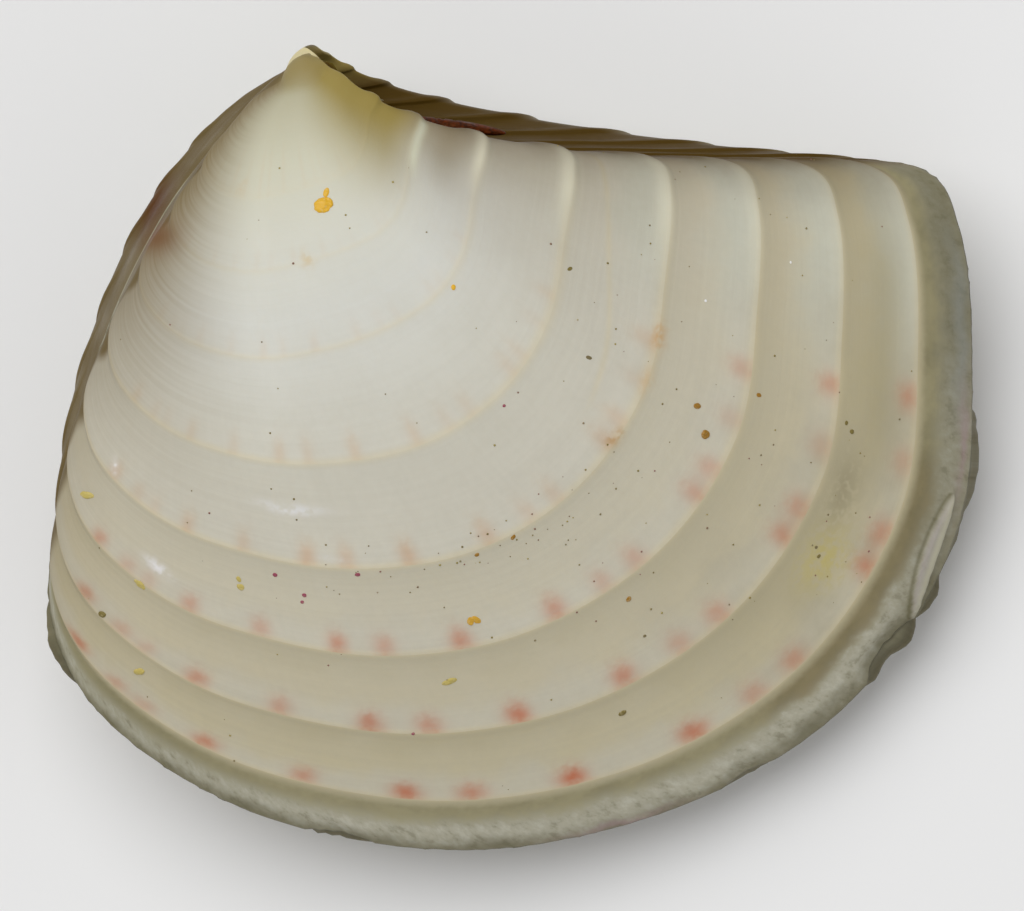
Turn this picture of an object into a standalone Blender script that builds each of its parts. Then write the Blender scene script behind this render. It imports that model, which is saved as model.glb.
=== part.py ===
"""A small closed clam shell, 20 mm long, lying on its right valve.

The shell is drawn in its own plane first: the beak is the origin, +X runs to the rear end, -Y to the
belly edge and +Z out of the left valve, with the edges of both valves meeting at z = 0. Each valve is one
growth surface. Every growth line is a smaller, younger copy of the edge, turned about an axis through the
beak by an angle that grows with the logarithm of its size, which winds the valve into a spiral bowl.
Eight growth ledges step the surface. The right valve mirrors the left one, with its own worn edge.
A horny ligament lies in the groove behind the beaks. Last, the whole shell is tipped to the pose in which
it lies still on the swell of its right valve, which is worn a little flat there.
"""
import math

import bmesh
import bpy
import numpy as np
from mathutils import Matrix, Vector

MM = 0.001

# Driving dimensions of the shell, in millimetres and degrees.
SHELL_LENGTH = 20.0
EDGE_GAP = 0.08            # between the edges of the two valves
WALL_SCALE = 0.945         # the inside of a valve is its outside drawn in towards the middle of the edge
BOWL_DEPTH = 0.95          # and made this much shallower, so the swell of the valve has a thicker wall
BOWL_CENTRE = (3.9, -8.4)  # that middle, in the plane of the edge
TILT_ABOUT_Y = 8.9         # the resting pose: first tipped to the rear,
TILT_ABOUT_X = 10.2        # then tipped towards the belly edge
REST_WEAR = 0.20           # how much of the right valve's swell is worn away where the shell lies on it

# The edge of a grown valve of that length, from the front of the beak round the belly to its rear.
EDGE_POINTS = [
    (-0.10, -0.04), (-1.30, -1.10), (-2.50, -2.30), (-3.50, -3.75), (-4.60, -6.10), (-5.40, -9.10),
    (-5.75, -12.10), (-4.35, -14.60), (-0.90, -16.70), (3.75, -17.50), (8.50, -16.50), (12.05, -14.20),
    (14.15, -10.70), (14.45, -7.00), (14.15, -4.05), (13.10, -2.68), (9.40, -2.45), (4.10, -2.15),
    (1.50, -1.50), (0.42, -0.12),
]
EDGE_LENGTH = 20.0         # front to rear of the points above

# How a growth line of relative height t differs from a plain small copy of the edge.
FRONT_POWER = 2.2          # the front end is full early
REAR_POWER = 1.38          # the rear end is drawn out late
FRONT_SHARE = 0.2
BELLY_LEAN = 0.4           # the belly of a young shell lies further forward
HINGE_DROP = 2.4           # the hinge line behind the beak keeps most of its depth in a young shell
HINGE_POWER = 0.26
COIL = 0.54                # turn in radians for each e-fold of size
COIL_AXIS_TILT = 22.0      # degrees that the coil's axis rises to the rear
BEAK_SIZE = 0.06           # growth lines smaller than this, the beak's tip, turn no further
BEAK_RISE = (0.05, 0.25)   # how far the tip bends back over the hinge, millimetres
BEAK_BEND = 10             # the power of (1 - t) that fades this out
BEAK_PUFF = 0.15           # the tip is fuller than its spiral by this
SWELL_DISC = 1.35          # outward swell of the belly of a half grown shell, millimetres
SWELL_REAR = 0.60          # and of its rear slope

# Where the growth lines of this shell run late or early, as changes of t that fade out at the edge.
REAR_LAG = 0.09            # the rear lines of a young shell
FRONT_LAG = 0.027          # the front lines of a nearly grown shell
BELLY_LEAD = 0.014         # the belly lines of a half grown shell

# Growth ledges, from the beak to the edge, as relative sizes t.
LEDGES = (0.20, 0.28, 0.376, 0.497, 0.626, 0.74, 0.843, 0.934)
LEDGE_HEIGHT = 0.035       # on the middle of the grown valve, millimetres
LEDGE_KNOB = 0.12          # more, where a ledge turns over the front and rear shoulders
LEDGE_STEP = 0.012         # the change of t over which a ledge falls back

# Mesh resolution.
COLUMNS = 50
END_CROWDING = 0.3         # columns stand this much closer than even at the hinge ends of the edge
INNER_ROWS = (0.0, 0.07, 0.16, 0.28, 0.42, 0.56, 0.70, 0.82, 0.92)

# Worn places in the edge: position along it from 0 to 1, half width along it, depth in millimetres.
# A negative depth is a flake of lip that stands out past the rest.
LEFT_WEAR = ((0.588, 0.014, 0.30), (0.519, 0.009, 0.10), (0.367, 0.012, 0.12))
RIGHT_WEAR = ((0.661, 0.016, -0.18), (0.604, 0.014, -0.20), (0.578, 0.006, -0.20), (0.470, 0.012, 0.12),
              (0.238, 0.014, -0.20))

# A long flake of the left lip has cracked free and stands up: from and to along the edge, and its size.
FLAKE_ALONG = (0.598, 0.652)
FLAKE_SIZE = (0.955, 0.985)
FLAKE_HEIGHT = 0.12

# The ligament, along the hinge line behind the beaks.
LIGAMENT_START = (1.80, -1.36)
LIGAMENT_END = (4.20, -1.74)
LIGAMENT_WIDTH = 0.56
LIGAMENT_DEPTH = 0.40


def smooth_step(low, high, value):
    """0 below low, 1 above high, and a smooth rise between."""
    part = np.clip((value - low) / (high - low), 0.0, 1.0)
    return part * part * (3.0 - 2.0 * part)


def columns():
    """Places round the edge, from 0 to 1, that the valves are meshed on: closer towards both ends."""
    even = np.linspace(0.0, 1.0, COLUMNS + 1)
    return even - END_CROWDING * np.sin(2.0 * np.pi * even) / (2.0 * np.pi)


def edge_curve(samples):
    """Points of the edge at equal steps of its length, on a Catmull-Rom curve through EDGE_POINTS."""
    points = np.array(EDGE_POINTS) * (SHELL_LENGTH / EDGE_LENGTH)
    points = np.vstack([2 * points[0] - points[1], points, 2 * points[-1] - points[-2]])
    step = np.linspace(0.0, 1.0, 24, endpoint=False)[:, None]
    spans = []
    for before, start, end, after in zip(points, points[1:], points[2:], points[3:]):
        spans.append(0.5 * (2 * start + (end - before) * step
                            + (2 * before - 5 * start + 4 * end - after) * step ** 2
                            + (3 * start - before - 3 * end + after) * step ** 3))
    spans.append(points[-2:-1])
    curve = np.vstack(spans)
    run = np.concatenate([[0.0], np.cumsum(np.linalg.norm(np.diff(curve, axis=0), axis=1))])
    run /= run[-1]
    return np.stack([np.interp(samples, run, curve[:, axis]) for axis in (0, 1)], axis=-1)


def growth_surface(along, size):
    """Points of the smooth outside: along is 0 to 1 round the edge, size is the growth line's t."""
    edge = edge_curve(along)
    size = np.maximum(size, 1e-6)
    front = 1.0 - (1.0 - size) ** FRONT_POWER
    rear = size ** REAR_POWER
    x = edge[..., 0] * (FRONT_SHARE * front + (1.0 - FRONT_SHARE) * rear)
    x = x + edge[..., 1] * BELLY_LEAN * (front - rear)
    drop = HINGE_DROP * smooth_step(0.45, 0.80, along) * (1.0 - smooth_step(0.93, 1.0, along))
    y = size * (edge[..., 1] + drop) - drop * size ** HINGE_POWER
    tilt = math.radians(COIL_AXIS_TILT)
    on_axis = x * math.cos(tilt) + y * math.sin(tilt)
    off_axis = x * math.sin(tilt) - y * math.cos(tilt)
    turn = COIL * np.log(1.0 / np.maximum(size, BEAK_SIZE))
    disc = smooth_step(0.25, 0.45, along) * (1.0 - smooth_step(0.60, 0.80, along))
    rear_slope = smooth_step(0.60, 0.80, along) * (1.0 - smooth_step(0.93, 1.0, along))
    swell = SWELL_DISC * disc * 4.0 * size * (1.0 - size)
    swell = swell + SWELL_REAR * rear_slope * 6.75 * size * (1.0 - size) ** 2
    height = off_axis * np.sin(turn) + swell
    out = off_axis * np.cos(turn)
    bend = (1.0 - size) ** BEAK_BEND
    return np.stack([on_axis * math.cos(tilt) + out * math.sin(tilt) + BEAK_RISE[0] * bend,
                     on_axis * math.sin(tilt) - out * math.cos(tilt) + BEAK_RISE[1] * bend,
                     height], axis=-1)


def bell(value, middle, width):
    """1 at the middle, falling smoothly to 0 on both sides."""
    return np.exp(-((value - middle) / width) ** 2)


def drift(along, size):
    """The late and early growth lines of this shell, as a change of t."""
    rear = smooth_step(0.58, 0.74, along) * (1.0 - smooth_step(0.93, 1.0, along))
    rear = rear * smooth_step(0.0, 0.3, size) * np.clip(1.0 - size, 0.0, 1.0) ** 1.5
    front = smooth_step(0.06, 0.20, along) * (1.0 - smooth_step(0.36, 0.50, along))
    front = front * bell(size, 0.74, 0.25) * (1.0 - smooth_step(0.93, 1.0, size))
    belly = bell(along, 0.525, 0.07) * bell(size, 0.56, 0.13)
    return BELLY_LEAD * belly - REAR_LAG * rear - FRONT_LAG * front


def outside_surface(along, size):
    """Points of the smooth outside with its growth lines where this shell has them."""
    return growth_surface(along, np.clip(size + drift(along, size), 0.0, 1.0))


def ledge_height(along, size):
    """How far the growth ledges lift the outside: a slow rise to each crest, then a step back.

    On the middle of the valve they only show on its older part. The knobs on the shoulders start early.
    """
    shoulder = 1.0 - smooth_step(0.10, 0.28, along) * (1.0 - smooth_step(0.68, 0.80, along))
    lift = np.zeros(np.broadcast(along, size).shape)
    before = 0.0
    for crest in LEDGES:
        rise = np.clip((size - before) / (crest - before), 0.0, 1.0) ** 2
        fall = 1.0 - smooth_step(crest, crest + LEDGE_STEP, size)
        lift = np.maximum(lift, np.where(size < before, 0.0, rise * fall))
        before = crest
    ends = smooth_step(0.04, 0.10, along) * (1.0 - smooth_step(0.90, 0.98, along))
    low = LEDGE_HEIGHT * smooth_step(0.25, 0.65, size)
    knob = LEDGE_KNOB * shoulder * smooth_step(0.06, 0.20, size)
    return lift * ends * (low + knob)


def flake_height(along, size):
    """How far the cracked flake of lip stands up."""
    middle = sum(FLAKE_SIZE) / 2
    across = np.clip(1.0 - np.abs(size - middle) / (FLAKE_SIZE[1] - middle), 0.0, 1.0)
    run = smooth_step(FLAKE_ALONG[0] - 0.01, FLAKE_ALONG[0], along)
    run = run * (1.0 - smooth_step(FLAKE_ALONG[1] - 0.01, FLAKE_ALONG[1], along))
    return FLAKE_HEIGHT * across * run


def outer_rows():
    """Growth lines that the outside is meshed on: its beak, and three for each ledge."""
    rows = [0.0, 0.025, 0.06, 0.11, 0.155]
    before = rows[-1]
    for crest in LEDGES:
        rows += [before + (crest - before) * 0.6, crest, crest + LEDGE_STEP]
        before = crest + LEDGE_STEP
    return np.array(rows + [0.97, 1.0])


def wear(points, along, worn):
    """Draws the edge in towards its middle where it is chipped."""
    centre = np.array([*BOWL_CENTRE, 0.0])
    depth = np.zeros(along.shape)
    for place, half_width, cut in worn:
        depth = depth + cut * np.clip(1.0 - np.abs(along - place) / half_width, 0.0, 1.0) ** 0.5
    reach = np.linalg.norm(points - centre, axis=-1)
    return centre + (points - centre) * (1.0 - depth / reach)[..., None]


def outside_points(worn, flake):
    """Rows of points of the outside, from the beak to the edge, with the ledges on them."""
    along = columns()[None, :]
    size = outer_rows()[:, None]
    small = 1e-4
    points = outside_surface(along, size)
    ahead = outside_surface(np.clip(along + small, 0.0, 1.0), size)
    behind = outside_surface(np.clip(along - small, 0.0, 1.0), size)
    older = outside_surface(along, np.clip(size + small, 0.0, 1.0))
    younger = outside_surface(along, np.clip(size - small, small, 1.0))
    normal = np.cross(older - younger, ahead - behind)
    length = np.linalg.norm(normal, axis=-1, keepdims=True)
    normal = np.where(length > 1e-12, normal / np.maximum(length, 1e-12), 0.0)
    puff = BEAK_PUFF * (1.0 - smooth_step(0.02, 0.16, size))
    lift = ledge_height(along, size) + flake * flake_height(along, size) + puff
    points = points + normal * lift[..., None]
    points[-1] = wear(points[-1], along[0], worn)
    points[..., 2] = np.maximum(points[..., 2], 0.0) + EDGE_GAP / 2
    return points


def inside_points(outer_edge):
    """Rows of points of the smooth inside, whose last row is the inner edge of the flat rim."""
    along = columns()[None, :]
    centre = np.array([*BOWL_CENTRE, 0.0])
    points = growth_surface(along, np.array(INNER_ROWS)[:, None])
    points = np.concatenate([points, outer_edge[None] - [0.0, 0.0, EDGE_GAP / 2]])
    points = centre + (points - centre) * WALL_SCALE
    points[..., 2] = np.maximum(points[..., 2], 0.0) * BOWL_DEPTH + EDGE_GAP / 2
    return points


def add_rows(mesh, points):
    """Vertices for rows of points whose first row is one point, the beak."""
    rows = [[mesh.verts.new(points[0, 0] * MM)] * points.shape[1]]
    for row in points[1:]:
        rows.append([mesh.verts.new(point * MM) for point in row])
    return rows


def add_faces(mesh, rows):
    """Faces between neighbouring rows: triangles at the beak, quads after it."""
    for young, old in zip(rows, rows[1:]):
        for left in range(len(old) - 1):
            corners = [young[left], old[left], old[left + 1], young[left + 1]]
            mesh.faces.new(list(dict.fromkeys(corners)))


def rim_loop(rows):
    """The vertices round the edge of a bowl, from the beak by the front, the belly and the rear."""
    front = [row[0] for row in rows]
    rear = [row[-1] for row in rows[1:-1]]
    return front + rows[-1][1:] + rear[::-1]


def resting_turn():
    """The turn from the shell's own frame to the pose in which it lies."""
    about_y = Matrix.Rotation(math.radians(TILT_ABOUT_Y), 3, 'Y')
    return Matrix.Rotation(math.radians(TILT_ABOUT_X), 3, 'X') @ about_y


def wear_flat(mesh, depth):
    """Cuts a valve off flat, this deep, where it would touch the floor."""
    down = resting_turn().transposed() @ Vector((0, 0, -1))
    lowest = max(down.dot(vertex.co) for vertex in mesh.verts)
    parts = mesh.verts[:] + mesh.edges[:] + mesh.faces[:]
    cut = bmesh.ops.bisect_plane(mesh, geom=parts, plane_co=down * (lowest - depth), plane_no=down,
                                 clear_outer=True)
    loop = [part for part in cut["geom_cut"] if isinstance(part, bmesh.types.BMEdge)]
    bmesh.ops.triangle_fill(mesh, edges=loop, use_beauty=True, normal=down)


def valve(name, worn, flake, side, material):
    """One valve: side is 1 for the left valve and -1 for the right one, its mirror image. flake is 0 or 1."""
    mesh = bmesh.new()
    outside = outside_points(worn, flake)
    outer = add_rows(mesh, outside)
    inner = add_rows(mesh, inside_points(outside[-1]))
    add_faces(mesh, outer)
    add_faces(mesh, inner)
    for loop in (rim_loop(outer), rim_loop(inner)):
        for start, end in zip(loop, loop[1:] + loop[:1]):
            if mesh.edges.get((start, end)) is None:
                mesh.edges.new((start, end))
    rim = [edge for edge in mesh.edges if edge.is_boundary]
    bmesh.ops.triangle_fill(mesh, edges=rim, use_beauty=True, normal=Vector((0, 0, -1)))
    bmesh.ops.triangulate(mesh, faces=mesh.faces[:])
    bmesh.ops.scale(mesh, vec=(1.0, 1.0, side), verts=mesh.verts[:])
    if side < 0:
        wear_flat(mesh, REST_WEAR * MM)
    bmesh.ops.recalc_face_normals(mesh, faces=mesh.faces[:])
    return add_object(name, mesh, material, math.radians(50))


def ligament(material):
    """A horny band: a half round bar that tapers to both ends, under the shoulders of the valves."""
    start = Vector((*LIGAMENT_START, 0.0))
    end = Vector((*LIGAMENT_END, 0.0))
    mesh = bmesh.new()
    bmesh.ops.create_uvsphere(mesh, u_segments=16, v_segments=10, radius=0.5)
    length = (end - start).length
    bmesh.ops.rotate(mesh, matrix=Matrix.Rotation(math.radians(90), 3, 'Y'), verts=mesh.verts[:])
    bmesh.ops.scale(mesh, vec=(length, LIGAMENT_DEPTH, LIGAMENT_WIDTH), verts=mesh.verts[:])
    slope = math.atan2(end.y - start.y, end.x - start.x)
    bmesh.ops.rotate(mesh, matrix=Matrix.Rotation(slope, 3, 'Z'), verts=mesh.verts[:])
    bmesh.ops.translate(mesh, vec=(start + end) / 2, verts=mesh.verts[:])
    bmesh.ops.scale(mesh, vec=(MM, MM, MM), verts=mesh.verts[:])
    return add_object("ligament", mesh, material, math.radians(60))


def add_object(name, mesh, material, sharp_angle):
    """Turns a bmesh into a smooth shaded object with one material."""
    data = bpy.data.meshes.new(name)
    mesh.to_mesh(data)
    mesh.free()
    data.shade_smooth()
    data.set_sharp_from_angle(angle=sharp_angle)
    data.materials.append(material)
    piece = bpy.data.objects.new(name, data)
    bpy.context.scene.collection.objects.link(piece)
    return piece


def principled(name, colour, roughness):
    """A plain Principled material."""
    material = bpy.data.materials.new(name)
    material.use_nodes = True
    shader = material.node_tree.nodes["Principled BSDF"]
    shader.inputs["Base Color"].default_value = (*colour, 1.0)
    shader.inputs["Roughness"].default_value = roughness
    shader.inputs["Metallic"].default_value = 0.0
    return material


def lay_down(pieces):
    """Tips the shell to its resting pose and stands it on the floor, centred over the origin."""
    pose = bpy.data.objects.new("resting_pose", None)
    bpy.context.scene.collection.objects.link(pose)
    pose.rotation_mode = 'QUATERNION'
    pose.rotation_quaternion = resting_turn().to_quaternion()
    for piece in pieces:
        piece.parent = pose
    bpy.context.view_layer.update()
    corners = np.array([piece.matrix_world @ vertex.co for piece in pieces for vertex in piece.data.vertices])
    low = corners.min(axis=0)
    high = corners.max(axis=0)
    pose.location = (-(low[0] + high[0]) / 2, -(low[1] + high[1]) / 2, -low[2])
    bpy.context.view_layer.update()


def build():
    for old in list(bpy.data.objects):
        bpy.data.objects.remove(old, do_unlink=True)
    left_shell = principled("left_valve_shell", (0.58, 0.54, 0.44), 0.45)
    right_shell = principled("right_valve_shell", (0.50, 0.44, 0.33), 0.5)
    left = valve("left_valve", LEFT_WEAR, 1.0, 1.0, left_shell)
    right = valve("right_valve", RIGHT_WEAR, 0.0, -1.0, right_shell)
    band = ligament(principled("ligament_horn", (0.06, 0.022, 0.006), 0.4))
    lay_down([left, right, band])


build()
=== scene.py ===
# %% [markdown]
# # A small clam shell
#
# This lesson dresses one closed clam shell, 20 mm long, that lies on its right valve. A shell is the
# record of its own growth: every growth line was once its edge. So the main surface here isn't sculpted.
# It follows one rule, written as a Geometry Nodes tree, and the colours follow the same two numbers that
# the rule uses: how far round the edge a point lies, and how large the shell was when it grew there.
#
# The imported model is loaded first. It fixes the size and the place of every piece.

import math

import bmesh
import bpy
import numpy as np
from mathutils import Matrix, Vector


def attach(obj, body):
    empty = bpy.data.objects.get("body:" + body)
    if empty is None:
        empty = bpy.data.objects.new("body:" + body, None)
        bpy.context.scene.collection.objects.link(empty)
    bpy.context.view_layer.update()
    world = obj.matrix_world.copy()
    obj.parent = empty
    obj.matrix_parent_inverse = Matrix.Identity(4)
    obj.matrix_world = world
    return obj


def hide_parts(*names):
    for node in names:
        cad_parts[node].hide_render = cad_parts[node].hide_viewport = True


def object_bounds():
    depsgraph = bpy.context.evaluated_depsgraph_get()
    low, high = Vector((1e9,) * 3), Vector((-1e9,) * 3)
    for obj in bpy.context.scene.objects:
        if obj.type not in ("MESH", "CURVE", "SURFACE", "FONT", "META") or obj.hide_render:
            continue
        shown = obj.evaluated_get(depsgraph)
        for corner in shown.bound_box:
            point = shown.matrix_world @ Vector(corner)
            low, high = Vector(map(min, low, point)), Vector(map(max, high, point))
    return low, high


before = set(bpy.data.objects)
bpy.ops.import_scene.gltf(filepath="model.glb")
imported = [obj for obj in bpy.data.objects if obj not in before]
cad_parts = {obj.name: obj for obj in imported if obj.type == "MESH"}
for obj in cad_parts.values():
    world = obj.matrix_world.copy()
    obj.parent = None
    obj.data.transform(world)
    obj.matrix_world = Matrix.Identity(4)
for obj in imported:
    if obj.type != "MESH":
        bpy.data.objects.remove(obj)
cad_low, cad_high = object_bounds()
MM = 0.001
print("solids, mm:", [round(side / MM, 2) for side in cad_high - cad_low])

# %% [markdown]
# ## Camera and light
#
# The shell is looked at from straight above. A long lens far away keeps its outline true, because a near
# camera would draw the swell of the upper valve too large. The light is a broad soft lamp from the upper
# left and a plain world. Their level is the one at which a colour shows about as it is written.

# %% Camera
VIEW_WIDTH = 22.14 * MM
VIEW_CENTRE = (0.036 * MM, -0.161 * MM)
LENS = 700.0

scene = bpy.context.scene
camera_data = bpy.data.cameras.new("camera")
camera_data.lens = LENS
camera = bpy.data.objects.new("camera", camera_data)
scene.collection.objects.link(camera)
middle_height = (cad_low.z + cad_high.z) / 2
distance = VIEW_WIDTH * LENS / camera_data.sensor_width
camera.location = (*VIEW_CENTRE, middle_height + distance)
scene.camera = camera
print("camera distance, mm:", round(distance / MM))

# %% Light
scene.view_settings.view_transform = "Standard"


def sun(name, strength, towards, spread):
    """A sun lamp that shines from the direction towards, as wide in the sky as spread degrees."""
    data = bpy.data.lights.new(name, "SUN")
    data.energy = strength
    data.angle = math.radians(spread)
    lamp = bpy.data.objects.new(name, data)
    lamp.rotation_mode = "QUATERNION"
    lamp.rotation_quaternion = Vector(towards).to_track_quat("Z", "Y")
    scene.collection.objects.link(lamp)
    return lamp


sun("key_light", 2.0, (-0.35, 0.45, 1.0), 50)
sun("fill_light", 0.45, (0.5, -0.6, 0.8), 90)

world = bpy.data.worlds.new("studio")
scene.world = world
world.use_nodes = True
world.node_tree.nodes["Background"].inputs["Color"].default_value = (1.0, 1.0, 1.0, 1.0)
world.node_tree.nodes["Background"].inputs["Strength"].default_value = 0.32

# %% [markdown]
# ## Sums in node trees
#
# A growth rule and a shell's pigment are both formulas. Node trees can hold formulas, but a tree written
# node by node is hard to read. The small class below wraps one socket, so that `1 - size * 2` in Python
# adds the Math nodes for it. It works in shader trees and in geometry trees alike.

# %% One wire


class Wire:
    """One output socket of a node. A sum written with wires adds Math nodes to their tree."""

    def __init__(self, socket):
        self.socket = socket

    @staticmethod
    def add(tree, kind, values=(), output=0, **settings):
        """Adds a node: first its settings, then the values or wires of its sockets."""
        node = tree.nodes.new(kind)
        for name, setting in settings.items():
            if name == "stops":
                Wire.set_stops(node.color_ramp, setting)
            else:
                setattr(node, name, setting)
        for key, value in dict(values).items():
            if isinstance(value, Wire):
                tree.links.new(value.socket, node.inputs[key])
            else:
                node.inputs[key].default_value = value
        return Wire(node.outputs[output])

    @staticmethod
    def set_stops(ramp, stops):
        """Fills a colour ramp with (place, colour) pairs."""
        while len(ramp.elements) < len(stops):
            ramp.elements.new(1.0)
        for element, (place, colour) in zip(ramp.elements, stops):
            element.position = place
            element.color = colour

    def node(self, kind, values=(), output=0, **settings):
        """Adds a node to the tree of this wire, as add does."""
        return Wire.add(self.socket.id_data, kind, values, output, **settings)

    def math(self, operation, *others):
        """A Math node on this number and the others."""
        return self.node("ShaderNodeMath", enumerate((self, *others)), operation=operation)

    def swapped(self, operation, first):
        """A Math node on a plain number and this one, in that order."""
        return self.node("ShaderNodeMath", ((0, first), (1, self)), operation=operation)

    def vector_math(self, operation, *others):
        """A Vector Math node on this vector and the others."""
        return self.node("ShaderNodeVectorMath", enumerate((self, *others)), operation=operation)

    def scaled(self, factor):
        """This vector times a number."""
        return self.node("ShaderNodeVectorMath", {0: self, "Scale": factor}, operation="SCALE")

    def __add__(self, other):
        return self.math("ADD", other)

    def __sub__(self, other):
        return self.math("SUBTRACT", other)

    def __rsub__(self, other):
        return self.swapped("SUBTRACT", other)

    def __mul__(self, other):
        return self.math("MULTIPLY", other)

    def __truediv__(self, other):
        return self.math("DIVIDE", other)

    def __pow__(self, power):
        return self.math("POWER", power)

    __radd__ = __add__
    __rmul__ = __mul__

    def between(self, low, high, start=0.0, end=1.0, smooth=False):
        """Goes from start to end in a straight or smooth run as this value goes from low to high."""
        kind = "SMOOTHSTEP" if smooth else "LINEAR"
        values = enumerate((self, low, high, start, end))
        return self.node("ShaderNodeMapRange", values, interpolation_type=kind, clamp=True)

    def smooth(self, low, high, start=0.0, end=1.0):
        """Goes from start to end in a smooth run."""
        return self.between(low, high, start, end, smooth=True)

    def bell(self, middle, width):
        """1 at the middle, falling smoothly to 0 on both sides."""
        away = (self - middle) / width
        return (away * away * -1.0).math("EXPONENT")

    def mix(self, first, second):
        """Goes from the first colour to the second as this value goes from 0 to 1."""
        return self.node("ShaderNodeMix", {0: self, 6: first, 7: second}, 2, data_type="RGBA")

    def blend(self, first, second):
        """Goes from the first vector to the second as this value goes from 0 to 1."""
        return first.scaled(1.0 - self).vector_math("ADD", second.scaled(self))

    def parts(self):
        """The three numbers of this vector."""
        return [self.node("ShaderNodeSeparateXYZ", {0: self}, output=axis) for axis in range(3)]

    def join(self, y, z):
        """The vector of this number and two others."""
        return self.node("ShaderNodeCombineXYZ", enumerate((self, y, z)))


print("wire ready")

# %% [markdown]
# ## The growth rule
#
# The edge of the grown shell is drawn once, as twenty points. A younger growth line is a smaller copy of
# it, turned about an axis through the beak. Each time the shell doubles in size, the turn loses the same
# angle. That is the old rule of the logarithmic spiral, and it makes the bowl and the beak at one go. The
# front and the rear of a real clam grow at their own rates, so each gets its own power of the size.
#
# Most numbers are the ones that the solid model was built from, in millimetres and degrees. The low
# relief and the rounding of the beak are finer here than its flat faces could show.

# %% Numbers of the shell
EDGE_POINTS = [
    (-0.10, -0.04), (-1.30, -1.10), (-2.50, -2.30), (-3.50, -3.75), (-4.60, -6.10), (-5.40, -9.10),
    (-5.75, -12.10), (-4.35, -14.60), (-0.90, -16.70), (3.75, -17.50), (8.50, -16.50), (12.05, -14.20),
    (14.15, -10.70), (14.45, -7.00), (14.15, -4.05), (13.10, -2.68), (9.40, -2.45), (4.10, -2.15),
    (1.50, -1.50), (0.42, -0.12),
]
BOWL_CENTRE = (3.9, -8.4)  # the inside is drawn in towards this point, and chips bite towards it
LEDGES = (0.20, 0.28, 0.376, 0.497, 0.626, 0.74, 0.843, 0.934)  # the sizes at which growth stopped
LEDGE_STEP = 0.012  # the step back behind each crest, as a change of size
BEAK_BEND = 8  # the power of (1 - size) that fades the bend of the beak out
END_CROWDING = 0.15  # how much closer the columns stand near the two ends of the edge
# the way in which the shell lies, tipped from the plane between its valves
resting_turn = Matrix.Rotation(math.radians(10.2), 3, "X") @ Matrix.Rotation(math.radians(8.9), 3, "Y")

SHELL_SIZES = {
    # how the front, the rear and the hinge grow with the size of the shell
    "Front power": 2.2,
    "Rear power": 1.38,
    "Front share": 0.2,
    "Belly lean": 0.4,
    "Hinge drop": 2.4,
    "Hinge power": 0.26,
    # the spiral, and the swell that it alone would leave too flat
    "Coil": 0.54,
    "Coil axis tilt": math.radians(22.0),
    "Beak size": 0.06,
    "Disc swell": 1.35,
    "Rear swell": 0.60,
    # growth lines that run late or early
    "Rear lag": 0.09,
    "Front lag": 0.027,
    "Belly lead": 0.014,
    # the inside, and the gap that two touching valves keep
    "Wall scale": 0.945,
    "Bowl depth": 0.95,
    "Edge gap": 0.08,
    # low relief
    "Ledge height": 0.011,
    "Ledge knob": 0.12,
    "Crest cord": 0.006,
    "Lip swell": 0.008,
    # the beak: its bend, and the ball that rounds its tip
    "Beak puff": 0.26,
    "Beak shift": 0.15,
    "Beak rise": 0.34,
    "Beak radius": 0.69,
    "Beak centre x": -0.12,
    "Beak centre y": -0.44,
    "Beak centre z": 0.80,
    # how far the front slope is pulled in, and where along the edge the ledges start
    "Front draw": 0.0,
    "Ledge reach": 0.25,
    # the cracked lip and the wear of the edge
    "Flake height": 0.12,
    "Ragged edge": 0.05,
}
print("growth ledges:", len(LEDGES))

# %% [markdown]
# The parts of the rule come next. `drift` lets some growth lines run late or early, as they do on this
# shell. `grown_point` is the rule itself. `ledge_lift` raises the saw teeth: a slow rise towards each
# growth stop, a fine cord on its crest, then a step back. `flake_lift` lifts a cracked blade of the lip,
# and `wear_depth` chips the edge.

# %% The parts of the rule


def drift(along, age, sizes):
    """How late or early the growth lines run, as a change of size that fades out at the edge."""
    rear = along.smooth(0.58, 0.74) * along.smooth(0.93, 1.0, 1.0, 0.0)
    rear = rear * age.smooth(0.0, 0.3) * (1.0 - age) ** 1.5
    front = along.smooth(0.06, 0.20) * along.smooth(0.36, 0.50, 1.0, 0.0)
    front = front * age.bell(0.74, 0.25) * age.smooth(0.93, 1.0, 1.0, 0.0)
    belly = along.bell(0.525, 0.07) * age.bell(0.56, 0.13)
    return sizes["Belly lead"] * belly - sizes["Rear lag"] * rear - sizes["Front lag"] * front


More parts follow.
